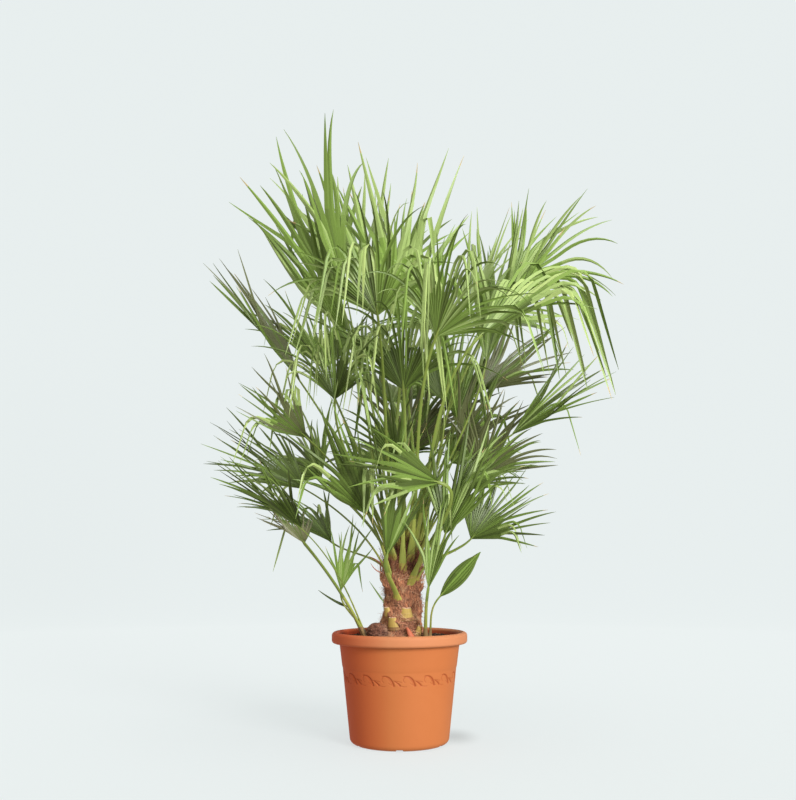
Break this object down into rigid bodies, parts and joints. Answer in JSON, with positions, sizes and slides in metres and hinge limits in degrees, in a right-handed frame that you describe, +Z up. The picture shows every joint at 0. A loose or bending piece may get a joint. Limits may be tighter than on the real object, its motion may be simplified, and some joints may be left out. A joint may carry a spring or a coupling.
{
  "type": "potted european fan palm",
  "caption": "Bushy fan palm with a short fibrous trunk and palmate fronds on long stems, standing in a tapered round nursery pot.",
  "frame": {"origin": "centre of the pot's flat underside", "axes": "+Z up from the pot's underside along the pot's axis; -Y is the front of the plant, +X its right side seen from the front"},
  "size_m": [1.0202, 1.1495, 1.5878],
  "materials": {
    "pot": "matte",
    "soil": "matte",
    "trunk": "matte",
    "frond": "satin"
  },
  "bodies": {
    "root": {"backHigh": "frond", "backLeft": "frond", "backLow": "frond", "backLowLeft": "frond", "backLowRight": "frond", "backMid": "frond", "backRight": "frond", "centreBack": "frond", "centreFront": "frond", "centreLeft": "frond", "centreRight": "frond", "centreRightLow": "frond", "centreRise": "frond", "crownBack": "frond", "frontLeftFacing": "frond", "frontRight": "frond", "innerLeft": "frond", "innerRight": "frond", "leftFolded": "frond", "leftInner": "frond", "leftMid": "frond", "lowFront": "frond", "lowMidLeft": "frond", "lowerLeftA": "frond", "lowerLeftB": "frond", "lowerLeftC": "frond", "midCentre": "frond", "midLeft": "frond", "midRight": "frond", "offshootBud": "trunk", "pot": "pot", "rightHanging": "frond", "rightLowA": "frond", "rightLowB": "frond", "rightMid": "frond", "rightMidLow": "frond", "rightPale": "frond", "soil": "soil", "suckerFolded": "frond", "suckerLeft": "frond", "suckerOlive": "frond", "suckerRight": "frond", "trunk": "trunk", "upperBackLeft": "frond", "upperLeftFront": "frond", "upperLeftTall": "frond", "upperLeftWide": "frond", "upperRightA": "frond", "upperRightB": "frond"}
  },
  "joints": []
}
